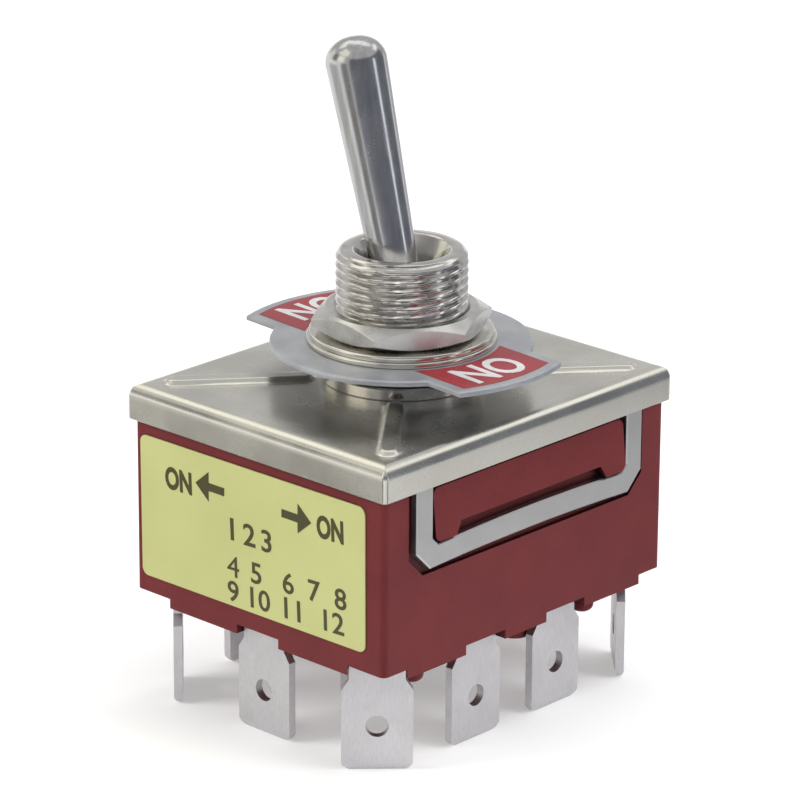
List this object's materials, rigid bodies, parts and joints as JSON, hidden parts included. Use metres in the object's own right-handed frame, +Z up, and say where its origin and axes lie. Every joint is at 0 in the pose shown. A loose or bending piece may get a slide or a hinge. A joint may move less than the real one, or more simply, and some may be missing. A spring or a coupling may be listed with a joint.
{
  "type": "panel toggle switch",
  "caption": "Heavy-duty panel toggle switch with a metal bat lever, threaded bushing, nickel cover with side loops, phenolic housing and push-on tabs.",
  "frame": {"origin": "on the bushing's axis, in the plane of the twelve tab tips", "axes": "+Z up the bushing, +X the way the lever throws (left to right along the labelled face), +Y away from the labelled face"},
  "size_m": [0.0322, 0.0382, 0.0605],
  "materials": {
    "phenolic": "satin moulded phenolic",
    "nickel_plate": "bright nickel plate",
    "fibre": "pressed fibre sheet",
    "brass": "turned brass",
    "steel": "hardened steel",
    "legend_aluminium": "printed aluminium",
    "label": "pale yellow-green printed film",
    "contact_silver": "silver contact alloy",
    "tinned_brass": "tin-plated brass, satin",
    "black_phenolic": "moulded phenolic"
  },
  "bodies": {
    "base": {"housing": "phenolic", "cover_plate": "nickel_plate", "insulating_sheet": "fibre", "bushing": "nickel_plate", "bushing_sleeve": "brass", "pivot_pin": "steel", "lower_nut": "nickel_plate", "legend_plate": "legend_aluminium", "plain_washer": "nickel_plate", "lock_washer": "nickel_plate", "upper_nut": "nickel_plate", "rating_label": "label", "fixed_contact_rivets": "contact_silver", "pole_1_common_terminal": "tinned_brass", "pole_1_left_terminal": "tinned_brass", "pole_1_right_terminal": "tinned_brass", "pole_2_common_terminal": "tinned_brass", "pole_2_left_terminal": "tinned_brass", "pole_2_right_terminal": "tinned_brass", "pole_3_common_terminal": "tinned_brass", "pole_3_left_terminal": "tinned_brass", "pole_3_right_terminal": "tinned_brass", "pole_4_common_terminal": "tinned_brass", "pole_4_left_terminal": "tinned_brass", "pole_4_right_terminal": "tinned_brass"},
    "lever": {"lever": "nickel_plate"},
    "carriage": {"actuator_carriage": "black_phenolic", "plunger_spring_1": "steel", "plunger_spring_2": "steel", "plunger_spring_3": "steel", "plunger_spring_4": "steel"},
    "rocker_1": {"rocker_1": "tinned_brass", "rocker_contacts_1": "contact_silver"},
    "plunger_1": {"plunger_1": "brass"},
    "rocker_2": {"rocker_2": "tinned_brass", "rocker_contacts_2": "contact_silver"},
    "plunger_2": {"plunger_2": "brass"},
    "rocker_3": {"rocker_3": "tinned_brass", "rocker_contacts_3": "contact_silver"},
    "plunger_3": {"plunger_3": "brass"},
    "rocker_4": {"rocker_4": "tinned_brass", "rocker_contacts_4": "contact_silver"},
    "plunger_4": {"plunger_4": "brass"}
  },
  "joints": [
    {"name": "lever_tilt", "type": "hinge", "parent": "base", "child": "lever", "pos_m": [0, 0, 0.0366], "axis": [0, 1, 0], "range_deg": [0, 30]},
    {"name": "carriage_slide", "type": "slide", "parent": "base", "child": "carriage", "axis": [1, 0, 0], "range_m": [-0.00652, 0]},
    {"name": "rocker_1_tilt", "type": "hinge", "parent": "base", "child": "rocker_1", "pos_m": [0, -0.0129, 0.01435], "axis": [0, 1, 0], "range_deg": [-12, 0]},
    {"name": "plunger_1_slide", "type": "slide", "parent": "carriage", "child": "plunger_1", "axis": [0, 0, 1], "range_m": [0, 0.0006], "stiffness_N_per_m": 400, "springref_m": -0.0025, "deforming": ["plunger_spring_1"]},
    {"name": "rocker_2_tilt", "type": "hinge", "parent": "base", "child": "rocker_2", "pos_m": [0, -0.0043, 0.01435], "axis": [0, 1, 0], "range_deg": [-12, 0]},
    {"name": "plunger_2_slide", "type": "slide", "parent": "carriage", "child": "plunger_2", "axis": [0, 0, 1], "range_m": [0, 0.0006], "stiffness_N_per_m": 400, "springref_m": -0.0025, "deforming": ["plunger_spring_2"]},
    {"name": "rocker_3_tilt", "type": "hinge", "parent": "base", "child": "rocker_3", "pos_m": [0, 0.0043, 0.01435], "axis": [0, 1, 0], "range_deg": [-12, 0]},
    {"name": "plunger_3_slide", "type": "slide", "parent": "carriage", "child": "plunger_3", "axis": [0, 0, 1], "range_m": [0, 0.0006], "stiffness_N_per_m": 400, "springref_m": -0.0025, "deforming": ["plunger_spring_3"]},
    {"name": "rocker_4_tilt", "type": "hinge", "parent": "base", "child": "rocker_4", "pos_m": [0, 0.0129, 0.01435], "axis": [0, 1, 0], "range_deg": [-12, 0]},
    {"name": "plunger_4_slide", "type": "slide", "parent": "carriage", "child": "plunger_4", "axis": [0, 0, 1], "range_m": [0, 0.0006], "stiffness_N_per_m": 400, "springref_m": -0.0025, "deforming": ["plunger_spring_4"]}
  ],
  "couplings": [
    {"joint": "lever_tilt", "follows": "carriage_slide", "rad_per_m": -80.279},
    {"joint": "rocker_1_tilt", "follows": "carriage_slide", "rad_per_m": 32.112},
    {"joint": "rocker_2_tilt", "follows": "carriage_slide", "rad_per_m": 32.112},
    {"joint": "rocker_3_tilt", "follows": "carriage_slide", "rad_per_m": 32.112},
    {"joint": "rocker_4_tilt", "follows": "carriage_slide", "rad_per_m": 32.112}
  ]
}
